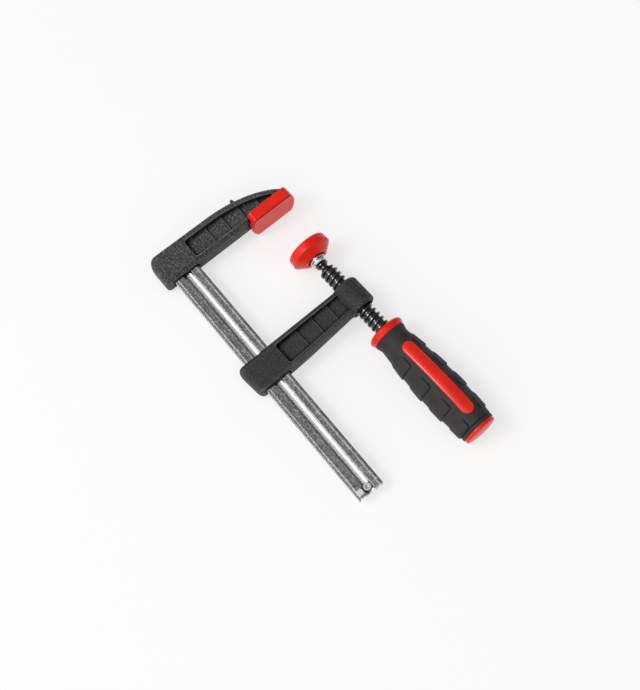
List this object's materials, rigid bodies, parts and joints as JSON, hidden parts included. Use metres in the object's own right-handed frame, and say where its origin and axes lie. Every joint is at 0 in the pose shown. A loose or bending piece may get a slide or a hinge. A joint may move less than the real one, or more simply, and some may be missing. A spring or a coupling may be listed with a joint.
{
  "type": "bar clamp",
  "caption": "Sliding-arm bar clamp: grooved, toothed steel rail, fixed and sliding cast arms, screw with swivelling pad, soft-grip handle.",
  "frame": {"origin": "on the fixed jaw cap's pressing face, on the throat line (50.8 mm from the rail's plain edge) and in the clamp's middle plane", "axes": "+X along the rail from the fixed jaw towards the handle, +Y from the rail towards the screw, +Z square to the clamp's plane, up in the picture's lying pose"},
  "size_m": [0.1797, 0.0854, 0.0236],
  "materials": {
    "rail_steel": "zinc-plated, satin",
    "pin_steel": "zinc-plated",
    "arm_casting": "black textured powder coat",
    "jaw_plastic": "glossy red plastic",
    "slider_casting": "black textured powder coat",
    "screw_steel": "black oxide, burnished crests",
    "ring_steel": "black oxide",
    "socket_zinc": "zinc-plated",
    "pad_plastic": "glossy red plastic",
    "core_plastic": "glossy red plastic",
    "grip_rubber": "soft matt black",
    "end_plastic": "glossy red plastic"
  },
  "bodies": {
    "frame": {"rail": "rail_steel", "stop_pin": "pin_steel", "fixed_arm": "arm_casting", "jaw_cap": "jaw_plastic"},
    "slider": {"sliding_arm": "slider_casting"},
    "feed_ring": {"neck_ring": "ring_steel"},
    "screw": {"spindle": "screw_steel", "handle_core": "core_plastic", "handle_grip": "grip_rubber", "handle_end_cap": "end_plastic"},
    "pad": {"pad_socket": "socket_zinc", "pad_cap": "pad_plastic"}
  },
  "joints": [
    {"name": "arm_slide", "type": "slide", "parent": "frame", "child": "slider", "axis": [1, 0, 0], "range_m": [-0.0082, 0.0675]},
    {"name": "screw_feed", "type": "slide", "parent": "slider", "child": "feed_ring", "axis": [0.9993, 0.0384, 0], "range_m": [-0.0136, 0.014]},
    {"name": "spindle_turn", "type": "hinge", "parent": "feed_ring", "child": "screw", "pos_m": [0.03473, -0.00108, 0], "axis": [0.9993, 0.0384, 0], "range_deg": [-1632, 1680]},
    {"name": "pad_swivel", "type": "hinge", "parent": "feed_ring", "child": "pad", "pos_m": [0.03473, -0.00108, 0], "axis": [0, 0, 1], "range_deg": [-8, 12]}
  ],
  "couplings": [
    {"joint": "spindle_turn", "follows": "screw_feed", "rad_per_m": 2094.4}
  ]
}
